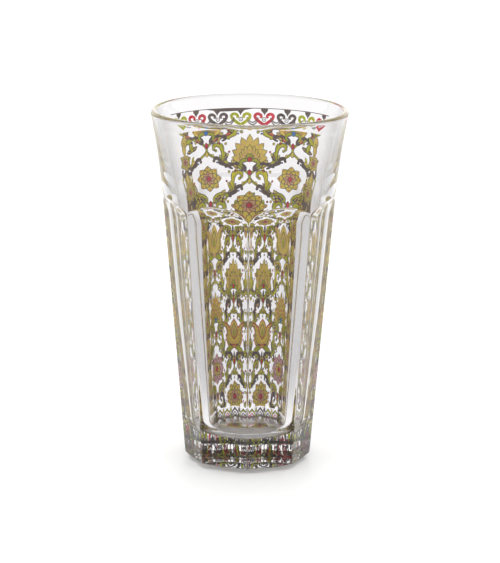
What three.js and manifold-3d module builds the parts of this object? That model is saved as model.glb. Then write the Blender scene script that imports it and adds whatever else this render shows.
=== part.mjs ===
// A tall pressed-glass tumbler: eight flat tapered panels, each scooped out at its top, under a
// round flared lip, with a printed enamel transfer on the outside of the back wall.
// Millimetres, +Z up. The origin is on the table, on the axis. The printed side faces +Y.

import * as THREE from "three";
import { mergeVertices } from "three/addons/utils/BufferGeometryUtils.js";
import Module from "manifold-3d";

const wasm = await Module();
wasm.setup();

// Outside of the glass
const glassHeight = 145;
const footRadius = 25.4; // centre to a ridge, at the table
const archRadius = 34.4; // centre to a ridge, where the arches spring
const archHeight = 103.5; // height at which the arches spring
const flareRise = 4.5; // arches to the height at which the round wall starts to flare
const rimRadius = 40.1;
const panelCount = 8;
const scoopRadius = 11.5; // curl of the scoop that ends each panel in an arch
const heelRadius = 2.5; // rounding between the panels and the underside

// Underside
const puntRadius = 17; // hollow under the foot
const puntDepth = 0.8;

// Inside of the glass
const baseThickness = 13;
const footWall = 7.2; // glass between the cavity and a ridge, at the cavity floor
const archWall = 5.6; // the same at the arches
const lipThickness = 2.6;
const cavityCorner = 7.5; // rounding between the cavity's floor and wall
const kneeLength = 7; // run of the bend in the cavity wall, below and above the arches

// Printed enamel
const printGap = 0.3; // between the wall and the enamel film
const filmThickness = 0.25;
const printWidth = 81; // along the wall, from edge to edge
const printTop = 6; // rim to the top edge of the print
const lineWidth = 1.4; // the line along the print's top edge
const budWidth = 2.8; // buds that hang from that line, one over each heart
const budDrop = 1.5;
const heartCount = 8;
const heartPitch = 15; // degrees between neighbouring hearts
const heartTurn = 1.6; // degrees that the row of hearts sits off the middle
const heartHeight = 6;
const heartWidth = 8.4;
const heartLine = 1.3; // width of the line that draws a heart
const heartDrop = 1.9; // top edge of the print to the hearts
const fieldDrop = 11; // top edge of the print to the field
const bandGap = 1.2; // bare glass between the field and the foot border's points
const latticePitch = 16.2; // between neighbouring openings of one row of the field, along the wall
const latticeRise = 12.8; // between rows, each set half a pitch aside
const openingWidth = 9.8;
const openingHeight = 14;
const fieldMargin = 2; // least enamel between the openings and the field's edges
const footBandLow = 3.2;
const footBandHeight = 5.4;
const lappetCount = 9;
const lappetPitch = 20; // degrees
const lappetWidth = 8.6;
const lappetHeight = 5.2;
const lappetLine = 1.3; // width of the line that draws a tongue

// Facets
const roundSteps = 80;
const curveSteps = 6;
const printSteps = 4; // along each curve of a printed outline
const openingSteps = 2; // the same for the many openings of the lattice
const spare = 1; // how far a cutter or a blank reaches past what it shapes

const halfPanel = Math.PI / panelCount;
const ridgeSlope = (archRadius - footRadius) / archHeight;
const flareHeight = archHeight + flareRise;

/** Distance from the axis to a ridge between two panels. */
function ridgeRadius(height) {
  return footRadius + ridgeSlope * height;
}

/** Distance from the axis to the round wall, which bends outwards from the flare's start. */
function roundRadius(height) {
  const rise = Math.max(0, height - flareHeight) / (glassHeight - flareHeight);
  return ridgeRadius(height) + (rimRadius - ridgeRadius(glassHeight)) * rise * rise;
}

/** Turns a closed geometry into a solid that can be joined and cut. */
function solidOf(geometry) {
  const bare = geometry.clone();
  bare.deleteAttribute("normal");
  bare.deleteAttribute("uv");
  const merged = mergeVertices(bare, 1e-4);
  const corners = merged.index.array;
  const triangles = [];
  for (let i = 0; i < corners.length; i += 3) {
    const [a, b, c] = corners.slice(i, i + 3);
    if (a !== b && b !== c && c !== a) triangles.push(a, b, c);
  }
  return new wasm.Manifold(
    new wasm.Mesh({
      numProp: 3,
      vertProperties: new Float32Array(merged.attributes.position.array),
      triVerts: new Uint32Array(triangles),
    }),
  );
}

/** Turns a solid back into a geometry. */
function geometryOf(solid) {
  const mesh = solid.getMesh();
  const geometry = new THREE.BufferGeometry();
  geometry.setAttribute("position", new THREE.BufferAttribute(mesh.vertProperties, 3));
  geometry.setIndex(new THREE.BufferAttribute(mesh.triVerts, 1));
  geometry.computeVertexNormals();
  return geometry;
}

/** Revolves a path of radius and height about Z. The path starts and ends on the axis. */
function revolve(path) {
  const points = path.getPoints(curveSteps);
  return new THREE.LatheGeometry(points, roundSteps).rotateX(Math.PI / 2);
}

/** Continues a path up the round outside wall, from the table to the height given. */
function followOutside(path, offset, topHeight) {
  const middle = (flareHeight + topHeight) / 2;
  path.lineTo(footRadius + spare + offset, 0);
  path.lineTo(archRadius + offset, archHeight);
  path.lineTo(ridgeRadius(flareHeight) + offset, flareHeight);
  const top = roundRadius(topHeight) + offset;
  path.quadraticCurveTo(ridgeRadius(middle) + offset, middle, top, topHeight);
}

/** The wedge of space outside one panel: heel, flat, then the scoop curling outwards. */
function panelCutter(offset) {
  const squeeze = Math.cos(halfPanel);
  const slope = ridgeSlope * squeeze;
  const lean = Math.atan(slope);
  const apothem = (height) => ridgeRadius(height) * squeeze + offset;
  const far = rimRadius + scoopRadius + offset + spare;
  const heelStart = apothem(heelRadius) - heelRadius;
  const scoopX = apothem(archHeight) + scoopRadius * Math.cos(lean);
  const scoopZ = archHeight - scoopRadius * Math.sin(lean);
  const outline = new THREE.Shape();
  outline.moveTo(far, -spare);
  outline.lineTo(far, scoopZ + scoopRadius);
  outline.lineTo(scoopX, scoopZ + scoopRadius);
  outline.absarc(scoopX, scoopZ, scoopRadius, Math.PI / 2, Math.PI - lean, false);
  outline.lineTo(apothem(heelRadius), heelRadius);
  outline.absarc(heelStart, heelRadius, heelRadius, 0, -Math.PI / 2, true);
  outline.lineTo(heelStart, -spare);
  const depth = 2 * far;
  const block = new THREE.ExtrudeGeometry(outline, {
    depth,
    bevelEnabled: false,
    curveSegments: curveSteps,
  });
  return block.translate(0, 0, -depth / 2).rotateX(Math.PI / 2);
}

/** Cuts the eight panels, with ridges on the X and Y axes, out of a round blank. */
function cutPanels(blank, offset) {
  let solid = blank;
  for (let i = 0; i < panelCount; i += 1) {
    const cutter = panelCutter(offset).rotateZ(halfPanel * (2 * i + 1));
    solid = solid.subtract(solidOf(cutter));
  }
  return solid;
}

/** The whole tumbler: foot, panels, scoops, lip and cavity. */
function glassBody() {
  const lipRadius = lipThickness / 2;
  const lipHeight = glassHeight - lipRadius;
  const path = new THREE.Path();
  path.moveTo(0, puntDepth);
  path.quadraticCurveTo(puntRadius / 2, puntDepth, puntRadius, 0);
  const lipOutside = roundRadius(lipHeight);
  followOutside(path, 0, lipHeight);
  path.absarc(lipOutside - lipRadius, lipHeight, lipRadius, 0, Math.PI, false);

  const lipInside = lipOutside - lipThickness;
  const knee = archRadius - archWall;
  const floor = ridgeRadius(baseThickness) - footWall;
  const lowSlope = (knee - floor) / (archHeight - baseThickness);
  const highSlope = (lipInside - knee) / (lipHeight - archHeight);
  path.lineTo(knee + highSlope * kneeLength, archHeight + kneeLength);
  path.quadraticCurveTo(knee, archHeight, knee - lowSlope * kneeLength, archHeight - kneeLength);
  const cornerTop = cavityCorner * (1 - Math.sin(Math.atan(lowSlope)));
  const cornerRadius = floor + lowSlope * cornerTop;
  path.lineTo(cornerRadius, baseThickness + cornerTop);
  path.quadraticCurveTo(floor, baseThickness, floor - cornerTop, baseThickness);
  path.lineTo(0, baseThickness);
  return cutPanels(solidOf(revolve(path)), 0);
}

/** The tumbler's outside form as one filled solid, grown by the offset. */
function outsideForm(offset) {
  const path = new THREE.Path();
  path.moveTo(0, 0);
  followOutside(path, offset, glassHeight);
  path.lineTo(0, glassHeight);
  return cutPanels(solidOf(revolve(path)), offset);
}

/** Extrudes an outline, drawn along the wall and up, outwards through the back wall. */
function throughBackWall(outline, curveSegments = printSteps) {
  const depth = rimRadius + spare;
  const block = new THREE.ExtrudeGeometry(outline, { depth, bevelEnabled: false, curveSegments });
  return block.translate(0, 0, -depth - spare).rotateX(Math.PI / 2);
}

/** How far behind the axis the side edges of the print lie at a height. */
function printEdge(height) {
  const radius = roundRadius(height);
  return radius * Math.cos(printWidth / 2 / radius);
}

/** The space behind the slanted plane that holds both side edges of the print. */
function bandWindow(low, high) {
  const far = rimRadius + spare;
  const outline = new THREE.Shape();
  outline.moveTo(printEdge(low), low);
  outline.lineTo(far, low);
  outline.lineTo(far, high);
  outline.lineTo(printEdge(high), high);
  const block = new THREE.ExtrudeGeometry(outline, { depth: 2 * far, bevelEnabled: false });
  return block.translate(0, 0, -far).rotateX(Math.PI / 2).rotateZ(Math.PI / 2);
}

/** Draws a heart that stands on its point, its notch at a share of its height. */
function drawHeart(path, side, low, height, notch) {
  const at = (share) => low + height * share;
  path.moveTo(0, low);
  path.quadraticCurveTo(side * 0.62, at(0.24), side, at(0.62));
  path.bezierCurveTo(side * 1.05, at(1.12), side * 0.25, at(1.12), 0, at(notch));
  path.bezierCurveTo(-side * 0.25, at(1.12), -side * 1.05, at(1.12), -side, at(0.62));
  path.quadraticCurveTo(-side * 0.62, at(0.24), 0, low);
  return path;
}

/** A heart drawn by a thick line, open in its middle. */
function heartOutline(low) {
  const outline = drawHeart(new THREE.Shape(), heartWidth / 2, low, heartHeight, 0.78);
  const innerSide = heartWidth / 2 - heartLine;
  const innerLow = low + heartLine * 1.6;
  const innerHeight = heartHeight - heartLine * 2.5;
  outline.holes.push(drawHeart(new THREE.Path(), innerSide, innerLow, innerHeight, 0.5));
  return outline;
}

/** A bud that hangs from the top line and narrows to a point. */
function budOutline(top, bottom) {
  const side = budWidth / 2;
  const shoulder = (top + bottom) / 2;
  const outline = new THREE.Shape();
  outline.moveTo(-side, top);
  outline.quadraticCurveTo(-side, shoulder, 0, bottom);
  outline.quadraticCurveTo(side, shoulder, side, top);
  return outline;
}

/** One upright tongue with a pointed arch for its top. */
function lappetOutline(side, low, shoulder, point) {
  const middle = (shoulder + point) / 2;
  const outline = new THREE.Shape();
  outline.moveTo(-side, low);
  outline.lineTo(side, low);
  outline.lineTo(side, shoulder);
  outline.quadraticCurveTo(side, middle, 0, point);
  outline.quadraticCurveTo(-side, middle, -side, shoulder);
  return outline;
}

/** A pointed oval, the opening between the stems of the field's lattice. */
function openingOutline(middle) {
  const side = openingWidth / 2;
  const tip = openingHeight / 2;
  const outline = new THREE.Shape();
  outline.moveTo(0, middle - tip);
  outline.bezierCurveTo(side * 0.2, middle - tip * 0.6, side, middle - tip * 0.5, side, middle);
  outline.bezierCurveTo(side, middle + tip * 0.5, side * 0.2, middle + tip * 0.6, 0, middle + tip);
  outline.bezierCurveTo(-side * 0.2, middle + tip * 0.6, -side, middle + tip * 0.5, -side, middle);
  outline.bezierCurveTo(-side, middle - tip * 0.5, -side * 0.2, middle - tip * 0.6, 0, middle - tip);
  return outline;
}

/** Joins copies of an outline, each extruded through the back wall and turned by its angle. */
function turnedThroughWall(outline, angles) {
  return angles.map((angle) => solidOf(throughBackWall(outline).rotateZ(angle)));
}

/** How many copies fit in a length, first to last, with the size and pitch of one. */
function copiesIn(length, size, pitch) {
  return Math.max(1, Math.floor((length - size) / pitch) + 1);
}

/** The angles of copies in a row, evenly spaced about the middle of the back. */
function rowAngles(count, step) {
  return Array.from({ length: count }, (_, i) => ((count - 1) / 2 - i) * step);
}

/** The openings of the field's lattice, in rows that are set half a pitch aside by turns. */
function fieldOpenings(low, high) {
  const rows = copiesIn(high - low - 2 * fieldMargin, openingHeight, latticeRise);
  const columns = copiesIn(printWidth - 2 * fieldMargin, openingWidth, latticePitch);
  const firstRow = (low + high) / 2 - ((rows - 1) / 2) * latticeRise;
  const openings = [];
  for (let row = 0; row < rows; row += 1) {
    const middle = firstRow + row * latticeRise;
    const outline = openingOutline(middle);
    for (const angle of rowAngles(columns - (row % 2), latticePitch / roundRadius(middle))) {
      openings.push(solidOf(throughBackWall(outline, openingSteps).rotateZ(angle)));
    }
  }
  return openings;
}

const printTopHeight = glassHeight - printTop;
const heartLow = printTopHeight - heartDrop - heartHeight;
const footBandTop = footBandLow + footBandHeight;
const lappetPoint = footBandTop + lappetHeight;
const fieldLow = lappetPoint + bandGap;
const fieldTop = printTopHeight - fieldDrop;
const heartAngles = rowAngles(heartCount, THREE.MathUtils.degToRad(heartPitch)).map(
  (angle) => angle - THREE.MathUtils.degToRad(heartTurn),
);
const lappetAngles = rowAngles(lappetCount, THREE.MathUtils.degToRad(lappetPitch));

// The enamel film follows the wall outside, so every printed piece is trimmed from this skin.
const skin = outsideForm(printGap + filmThickness).subtract(outsideForm(printGap));

const lineLow = printTopHeight - lineWidth;
const buds = turnedThroughWall(budOutline(lineLow + lineWidth / 2, lineLow - budDrop), heartAngles);
const topWindow = buds.reduce((all, bud) => all.add(bud), solidOf(bandWindow(lineLow, printTopHeight)));
const topLine = skin.intersect(topWindow);

const heart = skin.intersect(solidOf(throughBackWall(heartOutline(heartLow))));

const fieldSheet = skin.intersect(solidOf(bandWindow(fieldLow, fieldTop)));
const field = fieldOpenings(fieldLow, fieldTop).reduce((all, hole) => all.subtract(hole), fieldSheet);

const tongue = lappetOutline(lappetWidth / 2, footBandTop - spare, footBandTop, lappetPoint);
const innerTongue = lappetOutline(
  lappetWidth / 2 - lappetLine,
  footBandLow + 2 * lappetLine,
  footBandTop - lappetLine / 2,
  lappetPoint - 1.6 * lappetLine,
);
const footSheet = solidOf(bandWindow(footBandLow, footBandTop));
const footWindow = turnedThroughWall(tongue, lappetAngles).reduce((all, one) => all.add(one), footSheet);
const footBand = turnedThroughWall(innerTongue, lappetAngles).reduce(
  (all, one) => all.subtract(one),
  skin.intersect(footWindow),
);

const clearGlass = new THREE.MeshStandardMaterial({
  color: 0xe9ecea,
  roughness: 0.04,
  metalness: 0,
  transparent: true,
  opacity: 0.35,
});

/** Glossy fired enamel in one colour. */
function enamel(color) {
  return new THREE.MeshStandardMaterial({ color, roughness: 0.3, metalness: 0 });
}

const charcoal = enamel(0x5a504c);
const olive = enamel(0x98a020);
const ochre = enamel(0xbea050);
const crimson = enamel(0xc03040);

/** Adds one named piece to a group. */
function addPiece(group, name, geometry, material, turn = 0) {
  const piece = new THREE.Mesh(geometry, material);
  piece.name = name;
  piece.rotation.z = turn;
  group.add(piece);
}

const tumbler = new THREE.Group();
tumbler.name = "tumbler";
addPiece(tumbler, "glass_body", geometryOf(glassBody()), clearGlass);

const print = new THREE.Group();
addPiece(print, "top_line_print", geometryOf(topLine), charcoal);
const heartGeometry = geometryOf(heart);
const heartColours = [olive, crimson, charcoal];
heartAngles.forEach((turn, i) => {
  // The hearts are counted from the left, as seen through the front wall.
  addPiece(print, `heart_print_${i + 1}`, heartGeometry, heartColours[i % 3], turn);
});
addPiece(print, "field_print", geometryOf(field), ochre);
addPiece(print, "foot_border_print", geometryOf(footBand), olive);
tumbler.add(print);

export default tumbler;
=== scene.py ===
# %% [markdown]
# The object is a tall pressed glass with a fired enamel print on the outside of its back wall.
# Seen from the front, the eye looks through the clear front panels and the thick foot at that print.
# So the lesson has two subjects: a clear body whose form bends light as the real one does, and a
# print that lies in the glass's skin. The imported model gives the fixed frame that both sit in.

import math

import bpy
import numpy as np
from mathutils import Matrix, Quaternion, Vector
from mathutils.bvhtree import BVHTree
from mathutils.geometry import delaunay_2d_cdt


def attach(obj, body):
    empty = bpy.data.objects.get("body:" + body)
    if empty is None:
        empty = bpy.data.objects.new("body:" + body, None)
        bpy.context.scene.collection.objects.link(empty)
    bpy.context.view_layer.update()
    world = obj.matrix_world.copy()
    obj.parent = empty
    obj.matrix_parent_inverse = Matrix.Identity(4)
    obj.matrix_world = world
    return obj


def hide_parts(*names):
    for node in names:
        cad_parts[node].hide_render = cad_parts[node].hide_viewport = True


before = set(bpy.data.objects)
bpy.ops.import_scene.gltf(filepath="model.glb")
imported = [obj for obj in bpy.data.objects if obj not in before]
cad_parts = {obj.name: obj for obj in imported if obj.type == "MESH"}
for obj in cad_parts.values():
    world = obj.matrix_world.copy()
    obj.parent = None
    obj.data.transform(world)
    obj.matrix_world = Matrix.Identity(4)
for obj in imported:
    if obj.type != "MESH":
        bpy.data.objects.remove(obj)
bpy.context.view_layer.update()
MM = 0.001

# %% [markdown]
# A product photograph of a glass is taken with a long lens from a little above the rim, so that the
# far edge of the mouth shows over the near one. The numbers below come from fitting a pinhole
# camera to the outline: distance, height, focal length, and a very small roll of the camera.

# %% The camera
IMAGE_HEIGHT = 563
FOCAL_PIXELS = 3010
SENSOR_WIDTH = 36  # millimetres, as lenses are counted
CAMERA_DISTANCE = 1190.8 * MM
CAMERA_HEIGHT = 345.3 * MM
CAMERA_TURN = math.radians(0.2)
CAMERA_ROLL = math.radians(0.4)
AIM = Vector((0.6 * MM, 0, 74 * MM))
NEAREST_SIGHT = 0.1
FURTHEST_SIGHT = 20

camera_data = bpy.data.cameras.new("photo_camera")
camera = bpy.data.objects.new("photo_camera", camera_data)
bpy.context.scene.collection.objects.link(camera)
bpy.context.scene.camera = camera
camera_data.sensor_width = SENSOR_WIDTH
camera_data.lens = FOCAL_PIXELS * SENSOR_WIDTH / IMAGE_HEIGHT
camera_data.clip_start = NEAREST_SIGHT
camera_data.clip_end = FURTHEST_SIGHT
camera.location = (
    math.sin(CAMERA_TURN) * CAMERA_DISTANCE,
    -math.cos(CAMERA_TURN) * CAMERA_DISTANCE,
    CAMERA_HEIGHT,
)
looking = (camera.location - AIM).to_track_quat("Z", "Y")
camera.rotation_mode = "QUATERNION"
camera.rotation_quaternion = looking @ Quaternion((0, 0, 1), CAMERA_ROLL)
print("lens", round(camera_data.lens, 1), "mm")

# %% [markdown]
# Geometry Nodes trees are written in this script. A long formula is hard to read as forty Math nodes
# wired by hand, so the small class below stands for "a value in a tree": adding or multiplying two
# of them makes the Math node and its wires.

# %% A small calculator that writes Math nodes


class Field:
    """A value in a node tree that can be used like a number."""

    def __init__(self, tree, socket):
        self.tree = tree
        self.socket = socket

    def __add__(self, other):
        return math_node(self.tree, "ADD", self, other)

    def __sub__(self, other):
        return math_node(self.tree, "SUBTRACT", self, other)

    def __mul__(self, other):
        return math_node(self.tree, "MULTIPLY", self, other)

    def __truediv__(self, other):
        return math_node(self.tree, "DIVIDE", self, other)


def math_node(tree, operation, *values):
    """Adds one Math node. The values are numbers or fields."""
    node = tree.nodes.new("ShaderNodeMath")
    node.operation = operation
    for socket, value in zip(node.inputs, values):
        if isinstance(value, Field):
            tree.links.new(value.socket, socket)
        else:
            socket.default_value = value
    return Field(tree, node.outputs[0])


# %% Points in and out of a tree


def split_position(tree):
    """The three coordinates of every point, as fields."""
    position = tree.nodes.new("GeometryNodeInputPosition")
    split = tree.nodes.new("ShaderNodeSeparateXYZ")
    tree.links.new(position.outputs[0], split.inputs[0])
    return [Field(tree, socket) for socket in split.outputs]


def join_vector(tree, *values):
    """Three numbers or fields as one vector socket."""
    node = tree.nodes.new("ShaderNodeCombineXYZ")
    for socket, value in zip(node.inputs, values):
        if isinstance(value, Field):
            tree.links.new(value.socket, socket)
        else:
            socket.default_value = value
    return node.outputs[0]


# %% Starting and ending a tree
KINDS = {"number": "Float", "whole": "Int", "object": "Object", "material": "Material"}


def start_tree(name, **inputs):
    """A new tree with a geometry input and the named inputs. Returns the tree and its fields."""
    tree = bpy.data.node_groups.new(name, "GeometryNodeTree")
    tree.interface.new_socket("Geometry", in_out="INPUT", socket_type="NodeSocketGeometry")
    for label, kind in inputs.items():
        title = label.replace("_", " ").title()
        socket_type = "NodeSocket" + KINDS[kind]
        tree.interface.new_socket(title, in_out="INPUT", socket_type=socket_type)
    tree.interface.new_socket("Geometry", in_out="OUTPUT", socket_type="NodeSocketGeometry")
    entry = tree.nodes.new("NodeGroupInput")
    fields = {}
    for label in inputs:
        socket = entry.outputs[label.replace("_", " ").title()]
        fields[label] = Field(tree, socket)
    return tree, entry.outputs["Geometry"], fields


def end_tree(tree, geometry, material):
    """Ends a tree in Realize Instances and Set Material."""
    realize = tree.nodes.new("GeometryNodeRealizeInstances")
    finish = tree.nodes.new("GeometryNodeSetMaterial")
    leave = tree.nodes.new("NodeGroupOutput")
    tree.links.new(geometry, realize.inputs["Geometry"])
    tree.links.new(realize.outputs["Geometry"], finish.inputs["Geometry"])
    tree.links.new(material.socket, finish.inputs["Material"])
    tree.links.new(finish.outputs["Geometry"], leave.inputs["Geometry"])


# %% Running a tree, and making a piece


def run_tree(piece, tree, **values):
    """Runs a tree on a piece and keeps the result as the piece's plain mesh."""
    modifier = piece.modifiers.new(tree.name, "NODES")
    modifier.node_group = tree
    identifiers = {}
    for item in tree.interface.items_tree:
        if item.item_type == "SOCKET" and item.in_out == "INPUT":
            identifiers[item.name] = item.identifier
    for label, value in values.items():
        modifier[identifiers[label.replace("_", " ").title()]] = value
    graph = bpy.context.evaluated_depsgraph_get()
    result = bpy.data.meshes.new_from_object(piece.evaluated_get(graph))
    piece.modifiers.remove(modifier)
    blank = piece.data
    piece.data = result
    bpy.data.meshes.remove(blank)
    result.name = piece.name
    return piece


def new_piece(name, points, faces):
    """A mesh object at the origin from points in millimetres."""
    mesh = bpy.data.meshes.new(name)
    mesh.from_pydata((np.asarray(points, float) * MM).tolist(), [], faces)
    mesh.update()
    piece = bpy.data.objects.new(name, mesh)
    bpy.context.scene.collection.objects.link(piece)
    return piece


# %% [markdown]
# Clear pressed glass has almost no colour of its own. What the eye reads as glass is how its surface
# bends and mirrors the room, so the finish is a fully transmitting shader with the refraction of
# soda-lime glass and a barely wavy surface, which is what a fire-polished pressing has.

# %% Clear glass
GLASS_IOR = 1.5
GLASS_TINT = (0.95, 0.938, 0.944, 1)
MIRROR_SHARE = (0.4, 0.4, 0.4, 1)  # weaker mirroring, so that the print shows without a veil
RIPPLE_SCALE = 90.0
RIPPLE_HEIGHT = 0.006 * MM


def noise_node(tree, scale, detail=2.0):
    """Noise on the piece's own Object coordinates."""
    where = tree.nodes.new("ShaderNodeTexCoord")
    noise = tree.nodes.new("ShaderNodeTexNoise")
    noise.inputs["Scale"].default_value = scale
    noise.inputs["Detail"].default_value = detail
    tree.links.new(where.outputs["Object"], noise.inputs["Vector"])
    return noise


def add_bump(tree, shader, noise, height, strength=1.0):
    """Lets a noise raise and lower the surface by the height."""
    bump = tree.nodes.new("ShaderNodeBump")
    bump.inputs["Distance"].default_value = height
    bump.inputs["Strength"].default_value = strength
    tree.links.new(noise.outputs["Fac"], bump.inputs["Height"])
    tree.links.new(bump.outputs["Normal"], shader.inputs["Normal"])


clear_glass = bpy.data.materials.new("clear_pressed_glass")
clear_glass.use_nodes = True
glass_shader = clear_glass.node_tree.nodes["Principled BSDF"]
glass_shader.inputs["Base Color"].default_value = GLASS_TINT
glass_shader.inputs["Roughness"].default_value = 0.0
glass_shader.inputs["IOR"].default_value = GLASS_IOR
glass_shader.inputs["Transmission Weight"].default_value = 1.0
glass_shader.inputs["Specular Tint"].default_value = MIRROR_SHARE
ripple = noise_node(clear_glass.node_tree, RIPPLE_SCALE)
add_bump(clear_glass.node_tree, glass_shader, ripple, RIPPLE_HEIGHT)
print("clear glass: refraction", GLASS_IOR, "ripple", round(RIPPLE_HEIGHT / MM, 3), "mm")

# %% [markdown]
# The body is pressed in one piece. A plunger makes the round cavity and a mould makes the outside:
# eight flat tapered panels that stop in scooped arches under a round flared wall. It could be cut
# from a solid with Booleans, but then every edge would be a hard crease and the light would break
# there. Here a round blank is spun first, and a node tree then presses the panels by formula: each
# outside point moves in to whichever is nearer the axis, the panel or the round wall. A smooth
# minimum leaves the soft ridges of a fire-polished pressing. By the same means the underside rises a
# little from the ring that the glass stands on to the eight edges of the heel.

# %% Sizes of the body, in millimetres, as in the frame
GLASS_HEIGHT = 145.0
FOOT_RADIUS = 25.4
ARCH_RADIUS = 34.4
ARCH_HEIGHT = 103.5
FLARE_HEIGHT = 108.0
RIM_RADIUS = 40.1
PANELS = 8
SCOOP_RADIUS = 11.5
HEEL_RADIUS = 2.5
CONTACT_RADIUS = 17.7
HEEL_SLOPE = 3.3  # how far the underside widens for each millimetre up
PUNT_RADIUS = 17.0
PUNT_DEPTH = 0.8
BASE_THICKNESS = 13.0
FOOT_WALL = 7.2
ARCH_WALL = 5.6
LIP_THICKNESS = 2.6
CAVITY_CORNER = 7.5
KNEE_LENGTH = 7.0
RIDGE_SLOPE = (ARCH_RADIUS - FOOT_RADIUS) / ARCH_HEIGHT
LIP_HEIGHT = GLASS_HEIGHT - LIP_THICKNESS / 2
print("walls:", FOOT_WALL, "mm at the foot,", ARCH_WALL, "at the arches,", LIP_THICKNESS, "at the lip")

# %% The two outside forms: ridges, and the round wall


def ridge_radius(height):
    """Distance from the axis to a ridge between two panels."""
    return FOOT_RADIUS + RIDGE_SLOPE * height


def round_radius(height):
    """Distance from the axis to the round wall above the arches."""
    rise = np.clip((height - FLARE_HEIGHT) / (GLASS_HEIGHT - FLARE_HEIGHT), 0, None)
    return ridge_radius(height) + (RIM_RADIUS - ridge_radius(GLASS_HEIGHT)) * rise**2


# %% [markdown]
# The blank is a solid of revolution, so all it needs is one row of rings: from the middle of the
# underside out and up the outside, over the lip, and down the inside to the cavity's floor. Rings lie
# close together at the heel and in the zone of the arches, where the light bends most.

# %% Rings up the outside
BLANK_SPARE = 0.08  # the blank is this much wider than the ridges, so that pressing cuts it
ARCH_ZONE = (95.0, 119.0)


def outside_rings():
    """Radius and height up the outside, closely spaced at the heel and the arches."""
    heights = np.concatenate(
        [
            np.linspace(0, HEEL_RADIUS, 19),
            np.linspace(HEEL_RADIUS, ARCH_ZONE[0], 30)[1:],
            np.linspace(*ARCH_ZONE, 73)[1:],
            np.linspace(ARCH_ZONE[1], LIP_HEIGHT, 30)[1:],
        ]
    )
    radii = round_radius(heights) + np.where(heights < ARCH_HEIGHT, BLANK_SPARE, 0)
    return np.column_stack([radii, heights])


print("rings up the outside:", len(outside_rings()))

# %% Rings down the inside
FLOOR_MIDDLE = 0.6  # radius of the innermost ring


def bend(start, corner, end, steps):
    """Points on a curve that leaves start towards corner and arrives at end from it."""
    share = np.linspace(0, 1, steps + 1)[1:, None]
    start, corner, end = (np.array(p, float) for p in (start, corner, end))
    return start * (1 - share) ** 2 + corner * 2 * share * (1 - share) + end * share**2


def inside_rings():
    """Radius and height from the inside of the lip down to the middle of the cavity's floor."""
    knee = ARCH_RADIUS - ARCH_WALL
    floor = ridge_radius(BASE_THICKNESS) - FOOT_WALL
    lip = round_radius(LIP_HEIGHT) - LIP_THICKNESS
    low_slope = (knee - floor) / (ARCH_HEIGHT - BASE_THICKNESS)
    high_slope = (lip - knee) / (LIP_HEIGHT - ARCH_HEIGHT)
    knee_top = (knee + high_slope * KNEE_LENGTH, ARCH_HEIGHT + KNEE_LENGTH)
    knee_low = (knee - low_slope * KNEE_LENGTH, ARCH_HEIGHT - KNEE_LENGTH)
    corner_rise = CAVITY_CORNER * (1 - math.sin(math.atan(low_slope)))
    corner_top = (floor + low_slope * corner_rise, BASE_THICKNESS + corner_rise)
    corner_low = (floor - corner_rise, BASE_THICKNESS)
    parts = [
        np.linspace((lip, LIP_HEIGHT), knee_top, 26)[1:],
        bend(knee_top, (knee, ARCH_HEIGHT), knee_low, 16),
        np.linspace(knee_low, corner_top, 50)[1:],
        bend(corner_top, (floor, BASE_THICKNESS), corner_low, 16),
        np.linspace(corner_low, (FLOOR_MIDDLE, BASE_THICKNESS), 12)[1:],
    ]
    return np.concatenate(parts)


print("rings down the inside:", len(inside_rings()))

# %% All rings of the blank


def blank_rings():
    """All rings from the middle of the underside, up the outside and down the inside."""
    share = np.linspace(0, 1, 9)[1:]
    punt = np.column_stack([PUNT_RADIUS * share, PUNT_DEPTH * (1 - share**2)])
    outside = outside_rings()
    turn = np.linspace(0, math.pi, 15)[1:]
    lip = LIP_THICKNESS / 2
    middle = round_radius(LIP_HEIGHT) - lip
    lip_rings = np.column_stack([middle + lip * np.cos(turn), LIP_HEIGHT + lip * np.sin(turn)])
    rings = np.concatenate([punt, outside, lip_rings, inside_rings()])
    first = len(punt)
    return rings, range(first, first + len(outside))


# %% Spin the blank
COLUMNS = 256
CROWDING = 0.55  # how much the columns crowd towards the ridges


def column_angles():
    """Angles of the columns, crowded towards the eight ridges."""
    per_panel = COLUMNS // PANELS
    share = np.arange(per_panel) * 2 / per_panel - 1
    crowded = CROWDING * np.sin(share * math.pi / 2) + (1 - CROWDING) * share
    middles = (np.arange(PANELS) + 0.5) * 2 * math.pi / PANELS
    return (middles[:, None] + crowded[None, :] * math.pi / PANELS).ravel()


def spin_blank(name):
    """Spins the rings about Z and marks the outside points."""
    rings, outside = blank_rings()
    angles = column_angles()
    points = [(0, 0, PUNT_DEPTH)]
    for radius, height in rings:
        flat = np.column_stack([radius * np.cos(angles), radius * np.sin(angles)])
        points.extend((x, y, height) for x, y in flat)
    last = len(points)
    points.append((0, 0, BASE_THICKNESS))
    faces = []
    for j in range(COLUMNS):
        after = (j + 1) % COLUMNS
        faces.append((0, 1 + after, 1 + j))
        for i in range(len(rings) - 1):
            low = 1 + i * COLUMNS
            high = low + COLUMNS
            faces.append((low + j, low + after, high + after, high + j))
        faces.append((last - COLUMNS + j, last - COLUMNS + after, last))
    piece = new_piece(name, points, faces)
    mark = piece.data.attributes.new("outside", "FLOAT", "POINT")
    for ring in outside:
        for j in range(COLUMNS):
            mark.data[1 + ring * COLUMNS + j].value = 1.0
    return piece


glass = spin_blank("pressed_glass_body")
print("blank:", len(glass.data.polygons), "faces")

# %% [markdown]
# The pressing tree works on one number, the distance from the axis. It folds the angle so that all
# eight panels become one, finds the panel's distance there with its heel and its scoop, and takes the
# least of this panel, its neighbour, the cone under the heel and the round blank.

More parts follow.
